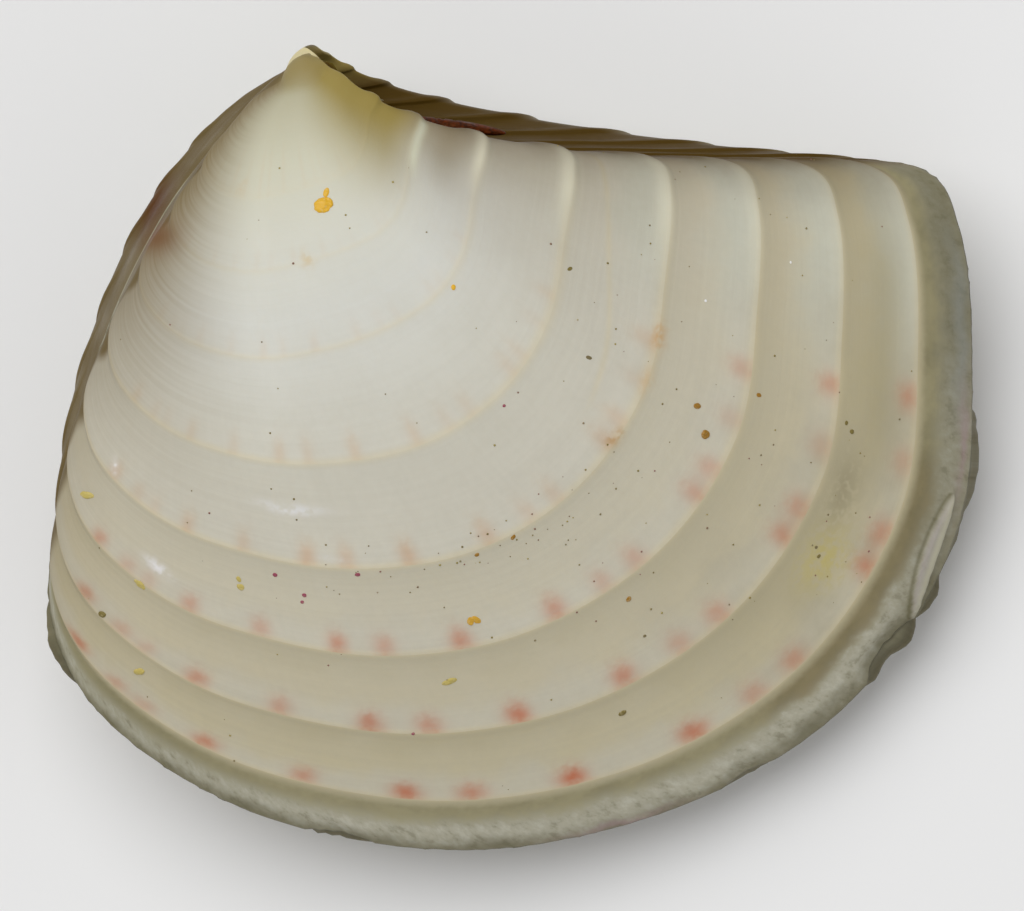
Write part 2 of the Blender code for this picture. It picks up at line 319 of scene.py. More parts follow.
def grown_point(edge, along, size, sizes):
    """A point of the smooth surface: edge is the grown edge there, size is the growth line's size."""
    edge_x, edge_y, _ = edge.parts()
    front = 1.0 - (1.0 - size) ** sizes["Front power"]
    rear = size ** sizes["Rear power"]
    x = edge_x * (sizes["Front share"] * front + (1.0 - sizes["Front share"]) * rear)
    x = x + edge_y * sizes["Belly lean"] * (front - rear)
    hinge = sizes["Hinge drop"] * along.smooth(0.45, 0.80) * along.smooth(0.93, 1.0, 1.0, 0.0)
    y = size * (edge_y + hinge) - hinge * size ** sizes["Hinge power"]
    cosine = sizes["Coil axis tilt"].math("COSINE")
    sine = sizes["Coil axis tilt"].math("SINE")
    on_axis = x * cosine + y * sine
    off_axis = x * sine - y * cosine
    turn = sizes["Coil"] * size.math("MAXIMUM", sizes["Beak size"]).math("LOGARITHM", math.e) * -1.0
    disc = along.smooth(0.25, 0.45) * along.smooth(0.60, 0.80, 1.0, 0.0)
    rear_slope = along.smooth(0.60, 0.80) * along.smooth(0.93, 1.0, 1.0, 0.0)
    swell = sizes["Disc swell"] * disc * 4.0 * size * (1.0 - size)
    swell = swell + sizes["Rear swell"] * rear_slope * 6.75 * size * (1.0 - size) * (1.0 - size)
    height = off_axis * turn.math("SINE") + swell
    out = off_axis * turn.math("COSINE")
    bend = (1.0 - size) ** BEAK_BEND
    rise = bend * along.smooth(0.0, 0.15) * along.smooth(0.85, 1.0, 1.0, 0.0)
    slope = along.bell(0.22, 0.08) * size.smooth(0.25, 0.55) * size.smooth(0.92, 1.0, 1.0, 0.0)
    return (on_axis * cosine + out * sine + sizes["Beak shift"] * bend + sizes["Front draw"] * slope,
            on_axis * sine - out * cosine + sizes["Beak rise"] * rise,
            height)


def ledge_lift(along, age, sizes):
    """How far the growth ledges and the lip stand out of the smooth surface."""
    teeth, cords, rolls = 0.0, 0.0, 0.0
    for before, crest in zip((0.0, *LEDGES), LEDGES):
        rise = age.between(before, crest)
        teeth = teeth + rise * rise * age.smooth(crest, crest + LEDGE_STEP, 1.0, 0.0)
        cords = cords + age.bell(crest - 0.001, 0.0035)
        rolls = rolls + age.bell(crest - 0.012, 0.016)
    rear_shoulder = age.smooth(0.4, 0.8, 0.0, 0.5)
    shoulder = 1.0 - along.smooth(0.20, 0.30) * along.smooth(0.68, 0.80, 1.0, rear_shoulder)
    reach = sizes["Ledge reach"]
    ends = along.smooth(reach - 0.06, reach) * along.smooth(0.90, 0.98, 1.0, 0.0)
    lift = teeth * sizes["Ledge height"] * age.smooth(0.25, 0.65) + cords * sizes["Crest cord"]
    knobs = (rolls + teeth) * 0.5
    lift = lift + knobs * sizes["Ledge knob"] * shoulder * age.smooth(0.06, 0.20)
    lip = age.bell(0.978, 0.013) - 0.6 * age.bell(0.953, 0.009)
    puff = age.smooth(0.02, 0.16, 1.0, 0.0) * along.smooth(0.02, 0.12) * along.smooth(0.88, 0.98, 1.0, 0.0)
    return lift * ends + lip * ends * sizes["Lip swell"] + puff * sizes["Beak puff"]


FLAKE_MIDDLE = 0.625  # where the cracked blade of lip lies round the edge
FLAKE_REACH = 0.0245  # half its length there
FLAKE_SIZE = 0.980  # the age at which it lies
FLAKE_SPREAD = 0.0085  # half its width
FLAKE_BOW_MIDDLE, FLAKE_BOW = 0.632, 17.0  # where it bends, and how much


def flake_place(along, age):
    """Half the width of the cracked blade of lip, and how far across it a point lies."""
    reach = (along - FLAKE_MIDDLE) / FLAKE_REACH
    half_width = (1.0 - reach * reach).math("MAXIMUM", 0.0) ** 0.5
    bow = along - FLAKE_BOW_MIDDLE
    return half_width, (age - FLAKE_SIZE - bow * bow * FLAKE_BOW) / FLAKE_SPREAD


def flake_lift(along, age):
    """1 on the long blade of lip that has cracked free, pointed at both ends. It runs out to the edge."""
    half_width, across = flake_place(along, age)
    return (half_width - across.math("ABSOLUTE")).smooth(0.0, 0.4)


def wear_depth(along, worn, sizes):
    """How deep the edge is chipped, in millimetres, from (place, half width, depth) entries."""
    values = {"W": along * 130.0, "Detail": 2.0, "Roughness": 0.5}
    ragged = along.node("ShaderNodeTexNoise", values, noise_dimensions="1D")
    depth = (ragged - 0.5) * sizes["Ragged edge"]
    for place, half_width, cut in worn:
        away = 1.0 - ((along - place) / half_width).math("ABSOLUTE")
        bite = away.math("MAXIMUM", 0.0) ** 0.5 * cut
        depth = depth + bite * (0.75 + 0.5 * ragged)
    return depth


print("rule ready")

# %% [markdown]
# The tree starts from a UV sphere. That is only its wiring: a ball has closed columns and two poles, which
# is what a hollow valve needs. Its top pole becomes the beak, its upper rows the outside, its lower rows
# the inside of the bowl, and its bottom pole the inside of the beak. The rows stand close together at
# every crest, where the surface turns sharply. The edge itself is a smooth curve through the twenty
# points, and the tree takes each column's place from it.
#
# The helpers for trees come first. Every tree ends in Realize Instances and Set Material, and its result
# is made a plain mesh at once.

# %% Helpers for the trees
SEGMENTS = 430
CLOSING_COLUMNS = 4  # they close the ring between the two ends of the edge, under the beak
INNER_ROWS = 14
INNER_END = 0.12  # the inside stops at this size, well within the beak
INNER_POLE = 0.4  # and is closed this far round the edge
BLUR_STEPS = 120


def outer_stops():
    """(row, size) pairs: the sizes that the outer rows pass through, crowded at the crests."""
    stops = [(0, 0.0), (6, 0.06), (16, 0.155)]
    row = stops[-1][0]
    for crest in LEDGES:
        for rows, size in ((9, crest - LEDGE_STEP), (6, crest), (6, crest + LEDGE_STEP)):
            row += rows
            stops.append((row, size))
    stops.append((row + 26, 1.0))
    return stops


def new_tree(name, number_inputs):
    """An empty geometry tree with named inputs. Returns it and its input wires by name."""
    tree = bpy.data.node_groups.new(name, "GeometryNodeTree")
    tree.interface.new_socket("Geometry", in_out="OUTPUT", socket_type="NodeSocketGeometry")
    tree.interface.new_socket("Geometry", in_out="INPUT", socket_type="NodeSocketGeometry")
    tree.interface.new_socket("Material", in_out="INPUT", socket_type="NodeSocketMaterial")
    for label in number_inputs:
        tree.interface.new_socket(label, in_out="INPUT", socket_type="NodeSocketFloat")
    group = tree.nodes.new("NodeGroupInput")
    return tree, {socket.name: Wire(socket) for socket in group.outputs if socket.name}


def finish_tree(tree, geometry, material):
    """Ends a tree: smooth faces, real geometry, one material."""
    smooth = Wire.add(tree, "GeometryNodeSetShadeSmooth", {"Geometry": geometry})
    real = Wire.add(tree, "GeometryNodeRealizeInstances", {"Geometry": smooth})
    done = Wire.add(tree, "GeometryNodeSetMaterial", {"Geometry": real, "Material": material})
    output = tree.nodes.new("NodeGroupOutput")
    tree.links.new(done.socket, output.inputs[0])


def store(geometry, name, value):
    """Keeps a number for every point of the geometry, as a named attribute."""
    values = {"Geometry": geometry, "Name": name, "Value": value}
    return geometry.node("GeometryNodeStoreNamedAttribute", values, data_type="FLOAT", domain="POINT")


def run_tree(name, tree, start, values):
    """Runs a tree on the mesh start and returns its result as a plain mesh object."""
    guide = bpy.data.objects.new(name + "_guide", start)
    scene.collection.objects.link(guide)
    modifier = guide.modifiers.new("growth", "NODES")
    modifier.node_group = tree
    for item in tree.interface.items_tree:
        if item.in_out == "INPUT" and item.name in values:
            modifier[item.identifier] = values[item.name]
    made = guide.evaluated_get(bpy.context.evaluated_depsgraph_get())
    mesh = bpy.data.meshes.new_from_object(made)
    bpy.data.objects.remove(guide)
    mesh.name = name
    piece = bpy.data.objects.new(name, mesh)
    scene.collection.objects.link(piece)
    return piece


def moved(geometry, position):
    """The geometry with its points put at the position."""
    return geometry.node("GeometryNodeSetPosition", {"Geometry": geometry, "Position": position})


print("rows, outside and inside:", outer_stops()[-1][0], INNER_ROWS)

# %% [markdown]
# Next come the two numbers of a point. Its row tells its age: the outer rows run from the beak to the edge,
# and the inner rows run back. Its column tells its place round the edge. The two ends of the edge meet under
# the beak, where a few columns close the ring.

# %% Age and place of a point


def wiring(tree, rings):
    """The row of a point, its place round the edge, and how far it is across the gap that closes the ring."""
    index = Wire.add(tree, "GeometryNodeInputIndex") - 1.0
    row = (index / SEGMENTS).math("FLOOR") + 1.0
    column = index.math("FLOORED_MODULO", SEGMENTS)
    open_columns = SEGMENTS - CLOSING_COLUMNS
    even = (column / open_columns).math("MINIMUM", 1.0)
    closing = ((column - open_columns) / CLOSING_COLUMNS).math("MAXIMUM", 0.0)
    along = even - (even * math.tau).math("SINE") * (END_CROWDING / math.tau)
    return row, along + row.math("GREATER_THAN", rings - 0.5) * INNER_POLE, closing


def ages(row, stops):
    """The age of an outer row, and the number of its band with the share of it that has grown."""
    age = 0.0
    for (low, young), (high, old) in zip(stops, stops[1:]):
        age = age + row.between(low, high, 0.0, old - young)
    age = age.math("MINIMUM", 1.0)
    band = 0.0
    for before, crest in zip((0.0, *LEDGES), (*LEDGES, 1.0)):
        band = band + age.between(before, crest)
    return age, band


def edge_place(line, along, closing):
    """The point of the grown edge that a column starts from, on a smooth curve through the line."""
    curve = line.node("GeometryNodeMeshToCurve", {"Mesh": line})
    curve = curve.node("GeometryNodeCurveSplineType", {"Curve": curve}, spline_type="CATMULL_ROM")
    curve = curve.node("GeometryNodeSetSplineResolution", {"Geometry": curve, "Resolution": 24})
    start, end, place = (
        curve.node("GeometryNodeSampleCurve", {"Curves": curve, "Factor": factor}, 1, mode="FACTOR")
        for factor in (0.0, 1.0, along))
    back = start.vector_math("SUBTRACT", end).scaled(closing)
    return place.vector_math("ADD", back)


print("columns:", SEGMENTS)

# %% [markdown]
# A valve then takes its shape in four steps. The rule puts every point on the smooth surface, with the
# inside drawn in by the thickness of the wall. A spiral has no round end, so the youngest rows are blurred.
# The outside is lifted by its ledges, and the very tip is laid on a small ball. Last, the edge is chipped.

# %% Steps of a valve


def smooth_place(edge, along, age, outer, inner_size, sizes):
    """Step one: a point of the smooth outside, or of the inside, which is drawn in."""
    late = (age + drift(along, age, sizes)).between(0.0, 1.0)
    size = outer * late + (1.0 - outer) * inner_size
    x, y, height = grown_point(edge, along, size, sizes)
    draw_in = outer + (1.0 - outer) * sizes["Wall scale"]
    x = BOWL_CENTRE[0] + (x - BOWL_CENTRE[0]) * draw_in
    y = BOWL_CENTRE[1] + (y - BOWL_CENTRE[1]) * draw_in
    return x.join(y, height * draw_in * (outer + (1.0 - outer) * sizes["Bowl depth"]))


def rounded_place(here, age, outer):
    """Step two: the places of the youngest rows, blurred together."""
    youngest = age.smooth(0.05, 0.15, 1.0, 0.0) * outer
    values = {"Value": here, "Iterations": BLUR_STEPS, "Weight": youngest}
    return here.node("GeometryNodeBlurAttribute", values, data_type="FLOAT_VECTOR")


def raised_place(here, along, age, outer, sizes):
    """Step three: lifted along its normal by the relief, or laid on the ball that rounds the tip."""
    normal = here.node("GeometryNodeInputNormal")
    lift = ledge_lift(along, age, sizes) + flake_lift(along, age) * sizes["Flake height"]
    raised = here.vector_math("ADD", normal.scaled(lift * outer))
    centre = sizes["Beak centre x"].join(sizes["Beak centre y"], sizes["Beak centre z"])
    away = here.vector_math("SUBTRACT", centre)
    dome = centre.vector_math("ADD", away.vector_math("NORMALIZE").scaled(sizes["Beak radius"]))
    cap = outer * age.smooth(0.04, 0.12, 1.0, 0.0)
    return cap.blend(raised, dome)


def chipped_place(here, along, near_edge, worn, sizes):
    """Step four: bitten in towards the middle of the bowl, and half the gap above the other valve."""
    x, y, height = here.parts()
    reach_x, reach_y = x - BOWL_CENTRE[0], y - BOWL_CENTRE[1]
    reach = (reach_x * reach_x + reach_y * reach_y).math("SQRT").math("MAXIMUM", 1.0)
    ends = along.smooth(0.05, 0.15) * along.smooth(0.75, 0.85, 1.0, 0.0)
    share = 1.0 - wear_depth(along, worn, sizes) * near_edge * ends / reach
    x = BOWL_CENTRE[0] + reach_x * share
    y = BOWL_CENTRE[1] + reach_y * share
    return x.join(y, height.math("MAXIMUM", 0.0) + sizes["Edge gap"] * 0.5)


print("steps ready")

# %% [markdown]
# The tree of a valve strings the steps together. It stores the attributes `along`, `age`, `band` and
# `outside` for the colours and the grains, and then it tips the valve. A mirrored valve has its faces
# flipped, or it would be inside out.

# %% The tree of a valve


def valve_tree(name, worn):
    """The tree of one valve, grown with its outside up."""
    tree, sizes = new_tree(name, [*SHELL_SIZES, "Side"])
    stops = outer_stops()
    last_row = stops[-1][0]
    rings = last_row + 1 + INNER_ROWS
    row, along, closing = wiring(tree, rings)
    age, band = ages(row, stops)
    outer = row.math("LESS_THAN", last_row + 0.5)
    inner_size = row.between(last_row + 1, rings, 1.0, INNER_END)
    edge = edge_place(sizes["Geometry"], along, closing)
    here = Wire.add(tree, "GeometryNodeInputPosition")

    valve = Wire.add(tree, "GeometryNodeMeshUVSphere", {"Segments": SEGMENTS, "Rings": rings})
    valve = moved(valve, smooth_place(edge, along, age, outer, inner_size, sizes))
    valve = moved(valve, rounded_place(here, age, outer))
    valve = moved(valve, raised_place(here, along, age, outer, sizes))
    near_edge = (outer * age + (1.0 - outer) * inner_size).smooth(0.968, 1.0)
    valve = moved(valve, chipped_place(here, along, near_edge, worn, sizes))
    for label, value in (("along", along), ("age", age), ("band", band), ("outside", outer)):
        valve = store(valve, label, value)

    side = sizes["Side"]
    scale = (side * side * MM).join(side * side * MM, side * MM)
    values = {"Geometry": valve, "Rotation": tuple(resting_turn.to_euler("XYZ")), "Scale": scale}
    tipped = Wire.add(tree, "GeometryNodeTransform", values)
    mirrored = side.math("LESS_THAN", 0.0)
    turned = Wire.add(tree, "GeometryNodeFlipFaces", {"Mesh": tipped, "Selection": mirrored})
    finish_tree(tree, turned, sizes["Material"])
    return tree


print("outer rows:", outer_stops()[-1][0], "triangles a valve:",
      2 * SEGMENTS * (outer_stops()[-1][0] + INNER_ROWS))

# %% [markdown]
# Both valves come from the same rule. The right one is the mirror image of the left one, but no two
# valves are quite alike: the chips in its edge, its beak, its front slope and its lower ledges are its own.
# The whole shell is tipped to the way in which it lies, and moved until the top, the rear end and the belly
# side of the left valve meet those of the solid model. The swell that it lies on is worn flat on the floor.

# %% Both valves
# (place round the edge, half width, depth in millimetres); a depth below zero is a flake that stands out
LEFT_WEAR = ((0.588, 0.014, 0.30), (0.519, 0.009, 0.10), (0.367, 0.012, 0.12))
RIGHT_WEAR = ((0.661, 0.020, -0.20), (0.634, 0.006, -0.08), (0.611, 0.008, -0.20), (0.594, 0.007, -0.20),
              (0.577, 0.005, -0.10), (0.470, 0.012, 0.12), (0.238, 0.014, -0.20))

BELLY_ROOM = 0.03 * MM  # how far the belly stays inside the solid model's box
RIGHT_OWN = {
    "Flake height": 0.0, "Ledge reach": 0.24, "Ledge knob": 0.08, "Ragged edge": 0.18, "Front draw": 0.20,
    "Beak puff": 0.12, "Beak shift": 0.50, "Beak rise": 0.30, "Beak radius": 0.74, "Beak centre x": 0.25,
    "Beak centre y": -0.56,
}

left_shell = bpy.data.materials.new("left_valve_shell")
right_shell = bpy.data.materials.new("right_valve_shell")


def edge_mesh():
    """The twenty edge points as one open line."""
    mesh = bpy.data.meshes.new("edge")
    links = [(number, number + 1) for number in range(len(EDGE_POINTS) - 1)]
    mesh.from_pydata([(x, y, 0.0) for x, y in EDGE_POINTS], links, [])
    return mesh


def grow_valve(name, worn, side, material):
    """Grows one valve. Side is 1 for the left valve and -1 for the right one, its mirror image."""
    values = {**SHELL_SIZES, "Side": side, "Material": material}
    if side < 0:
        values.update(RIGHT_OWN)
    return run_tree(name, valve_tree(name + "_growth", worn), edge_mesh(), values)


def box_of(piece):
    """The lowest and the highest corner of a piece's box."""
    corners = [vertex.co for vertex in piece.data.vertices]
    low = Vector([min(corner[axis] for corner in corners) for axis in range(3)])
    high = Vector([max(corner[axis] for corner in corners) for axis in range(3)])
    return low, high


left_valve = grow_valve("left_valve_shell", LEFT_WEAR, 1.0, left_shell)
right_valve = grow_valve("right_valve_shell", RIGHT_WEAR, -1.0, right_shell)
left_low, left_high = box_of(left_valve)
place = Vector((cad_high.x - left_high.x, cad_low.y - left_low.y + BELLY_ROOM, cad_high.z - left_high.z))
print("moved by, mm:", [round(side / MM, 3) for side in place])
for valve in (left_valve, right_valve):
    valve.data.transform(Matrix.Translation(place))
for vertex in right_valve.data.vertices:
    vertex.co.z = max(vertex.co.z, cad_low.z)


def volume(piece):
    """The signed volume, positive when the faces point outwards, and the number of open edges."""
    shape = bmesh.new()
    shape.from_mesh(piece.data)
    size = shape.calc_volume(signed=True)
    open_edges = sum(not edge.is_manifold for edge in shape.edges)
    shape.free()
    return size, open_edges


for valve in (left_valve, right_valve):
    size, open_edges = volume(valve)
    print(valve.name, "volume mm3:", round(size / MM ** 3, 1), "open edges:", open_edges)

# %% [markdown]
# Each valve rides on the one body of the model and takes the place of its plain solid.

# %% Ride on the frame
for valve, node, slot in ((left_valve, "left_valve", "left_valve_shell"),
                          (right_valve, "right_valve", "right_valve_shell")):
    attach(valve, "root")
    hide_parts(node)
print("riding:", left_valve.name, right_valve.name)

# %% [markdown]
# ## The finish of the shell
#
# The shell is porcelain white at the heart of the valve and turns beige, then olive, towards the edge.
# Each band is palest just before its crest and dullest just after it, partly in its own colour and partly
# as painted light and shade of the low steps, and a thin cream line runs along the crest itself. Rows of
# pink spots cross the bands at the same places round the edge, because the same cells of the mantle laid
# them down again at every growth stop.
#
# All of it is written in `along`, `age` and `band`, so the colours sit on the growth lines by themselves.

# %% Colours


def tone(red, green, blue):
    """A colour from three screen values, 0 to 255, as the linear values that shaders take."""
    def linear(value):
        value = value / 255.0
        return value / 12.92 if value <= 0.04045 else ((value + 0.055) / 1.055) ** 2.4

    return (linear(red), linear(green), linear(blue), 1.0)


GROWN_TONES = (
    (0.06, tone(176, 170, 140)), (0.17, tone(203, 201, 180)), (0.25, tone(211, 210, 197)),
    (0.34, tone(213, 213, 205)), (0.45, tone(212, 210, 198)), (0.57, tone(210, 206, 191)),
    (0.69, tone(209, 202, 180)), (0.79, tone(208, 199, 172)), (0.90, tone(206, 196, 164)),
)
# WHITE before each crest is partly painted light of the low step
WHITE = tone(216, 213, 200)
CREAM = tone(219, 205, 166)
SPOT_RED = tone(202, 92, 38)
SPOT_PEACH = tone(208, 158, 100)
# OLIVE after each crest is partly painted shade of the low step; elsewhere it is the shell's own olive
OLIVE = tone(158, 147, 108)
GREY = tone(176, 170, 152)
# GROOVE_DULL_AND_SHADE: the groove's dull colour with painted shade below the last crest in it
GROOVE_DULL_AND_SHADE = tone(166, 158, 124)
LIP = tone(184, 180, 160)
# LIP_DARK_AND_SHADE: dark mottles of the lip, also used as painted shade at the rim and beside the cracked
# blade
LIP_DARK_AND_SHADE = tone(100, 95, 66)
GROOVE_BROWN = tone(112, 88, 46)
CHALK = tone(206, 204, 188)
RIM_BLUE = tone(160, 170, 178)
RIM_PINK = tone(178, 136, 158)
# FLAKE and FLAKE_SHADE: the blade's lit outer side and its painted shade on the inner side
FLAKE = tone(194, 190, 168)
FLAKE_SHADE = tone(162, 155, 150)
PALE_REAR = tone(206, 209, 194)
YELLOW_STAIN = tone(150, 132, 66)
RUST = tone(112, 74, 42)
AMBER = tone(84, 44, 2)
# HINGE_STAIN_AND_SHADE: brown stain of the hinge hollow, darkened further as painted shade
HINGE_STAIN_AND_SHADE = tone(78, 58, 14)
# RIDGE_PALE_AND_HIGHLIGHT and KNOB_PALE_AND_HIGHLIGHT: the pale crest colour with a painted highlight of the
# raised ridge and knobs
RIDGE_PALE_AND_HIGHLIGHT = tone(208, 208, 184)
KNOB_PALE_AND_HIGHLIGHT = tone(228, 224, 200)
# FRONT_STAIN_AND_SHADE: brown stain of the front slope, darkened as painted shade
FRONT_STAIN_AND_SHADE = tone(104, 88, 54)
SHADE_GREY = tone(132, 117, 86)
TIP_NEAR = tone(146, 130, 82)
# TIP_FAR_LIT: the far valve's beak, lightened as painted light
TIP_FAR_LIT = tone(222, 210, 164)
print("palest band:", [round(value, 2) for value in GROWN_TONES[3][1][:3]])

# %% [markdown]
# The spots need a list of the places where their rows cross the edge, with how strong each row is. Each
# row gives a spot just before every crest, stronger at the later ones.

# %% Spots
SPOT_ROWS = (
    (0.273, 0.80), (0.295, 0.45), (0.309, 0.35), (0.335, 0.75), (0.374, 0.60), (0.413, 0.95),
    (0.436, 0.70), (0.472, 1.00), (0.518, 0.85), (0.544, 0.45), (0.563, 0.55), (0.605, 0.65),
    (0.618, 0.55), (0.645, 0.30), (0.669, 0.55),
)
SPOT_WIDTH = 0.0053
SPOT_BEFORE = 0.89  # how far through its band a spot lies


def spots(along, age, phase, cloud, grain):
    """0 to 1: how strong the pink spots are. Their rows spread a little as the shell grows."""
    lean = along.between(0.25, 0.65, 0.020, 0.004)
    place = along - (along - 0.5) * (age - 0.74) * 0.35 + (cloud - 0.5) * 0.006 + (phase - 0.85) * lean
    rows = 0.0
    for middle, strength in SPOT_ROWS:
        rows = rows + place.bell(middle, SPOT_WIDTH) * strength
    before = (phase + (grain - 0.5) * 0.12).bell(SPOT_BEFORE, 0.14)
    return rows * before * age.between(0.33, 0.93, 0.08, 1.0) * age.smooth(0.932, 0.936, 1.0, 0.0)


print("rows of spots:", len(SPOT_ROWS))

# %% [markdown]
# The rest is wear and dirt, with painted light and shade among it: yellow and brown stain round the beak,
# whose far tip is lightened as painted light, and in the hollow of the hinge, where the brown is darkened
# further as painted shade, painted shade on the front and rear slopes, painted highlights on the ridge and
# knobs by the hinge, a dull groove darkened as painted shade and a paler lip at the edge, cloudy patches,
# and fine lines along and across the growth. Two rust marks cross both valves at the front, so they are
# placed in space, in millimetres. The other stains are placed on the growth lines.

# %% Stains
# each mark: its middle, its turn, its half length, width and depth, and its colour
BROWN_MARKS = (
    ((-7.55, 4.52, 6.7), 0.0, (0.50, 0.36, 1.3), RUST),
    ((-7.68, 5.24, 5.1), math.radians(65), (0.72, 0.32, 1.2), AMBER),
)
# each blot: along, age, its half widths in the two, its colour and its strength
BLOTS = (
    (0.666, 0.627, 0.0080, 0.009, tone(200, 154, 98), 0.70),
    (0.640, 0.627, 0.0080, 0.007, tone(206, 172, 124), 0.45),
    (0.604, 0.622, 0.0060, 0.007, tone(182, 136, 74), 0.75),
    (0.492, 0.277, 0.0080, 0.010, tone(206, 178, 122), 0.45),
    (0.385, 0.190, 0.0100, 0.008, tone(200, 160, 96), 0.50),
    (0.607, 0.884, 0.0130, 0.022, tone(198, 184, 112), 0.75),
    (0.635, 0.872, 0.0150, 0.014, tone(140, 130, 100), 0.45),
    (0.417, 0.555, 0.0200, 0.007, tone(228, 227, 226), 0.80),
    (0.316, 0.702, 0.0080, 0.009, tone(232, 230, 230), 0.90),
    (0.281, 0.603, 0.0030, 0.012, tone(232, 230, 230), 0.90),
    (0.430, 0.612, 0.0060, 0.005, tone(226, 225, 224), 0.60),
)


def noise(vector, scale, detail=2.0, rough=0.5):
    """0 to 1: soft cloudy noise, about 0.5 in the mean."""
    values = {"Vector": vector, "Scale": scale, "Detail": detail, "Roughness": rough}
    return vector.node("ShaderNodeTexNoise", values)


print("marks and blots:", len(BROWN_MARKS), len(BLOTS))

# %% [markdown]
# The paint is laid on in layers, as mask.mix(paint, colour). The bands come first, then the stains and the
# painted shade and highlights over them. The groove and the lip take their place outside the last crest.
# The single blots and the cracked blade of lip come last.

# %% Layers of colour


def bands_colour(along, age, band, cloud, grain):
    """The grown bands with their crest lines and spots. The olive after each crest and the white before it
    are partly the band's own colour and partly painted shade and light of the low steps.
    """
    phase = band.math("FRACT")
    shifted = phase + (cloud - 0.5) * 0.6
    late = age.smooth(0.35, 0.85)
    paint = age.node("ShaderNodeValToRGB", {"Fac": age}, stops=GROWN_TONES)
    # after each crest: duller colour and painted shade of the step; before it: paler colour and painted light
    paint = (shifted.smooth(0.0, 0.5, 1.0, 0.0) * late * 0.32).mix(paint, OLIVE)
    paint = (shifted.smooth(0.45, 0.85) * age.smooth(0.25, 0.6) * 0.5).mix(paint, WHITE)
    olive = age.smooth(0.64, 0.90) * along.smooth(0.50, 0.60) * along.smooth(0.64, 0.74, 1.0, 0.5)
    paint = (olive * cloud.between(0.3, 0.7, 0.12, 0.42)).mix(paint, OLIVE)
    fold = (band + 0.5).math("FRACT") - 0.5
    width = along.smooth(0.55, 0.68, 0.034, 0.055)
    crest = fold.bell(-0.01, width * 1.2) * age.smooth(0.16, 0.62, 0.08, 0.44)
    crest = crest * age.smooth(0.95, 0.96, 1.0, 0.0)
    crest = crest * along.smooth(0.17, 0.24) * along.smooth(0.72, 0.80, 1.0, 0.0)
    paint = crest.mix(paint, CREAM)
    minor = (age + (along - 0.674) * 0.28).bell(0.562, 0.004) * along.smooth(0.60, 0.63)
    paint = (minor * 0.35).mix(paint, CREAM)
    pale = along.smooth(0.66, 0.74) * age.smooth(0.40, 0.60)
    pale = pale * shifted.smooth(0.2, 0.7) * phase.smooth(0.92, 1.0, 1.0, 0.3)
    paint = (pale * 0.7).mix(paint, PALE_REAR)
    dull = age.bell(0.893, 0.028) * along.smooth(0.62, 0.68) * along.smooth(0.72, 0.76, 1.0, 0.4)
    paint = (dull * 0.5).mix(paint, OLIVE)
    red = age.smooth(0.55, 0.75).mix(SPOT_PEACH, SPOT_RED)
    return (spots(along, age, phase, cloud, grain) * 0.84).mix(paint, red)


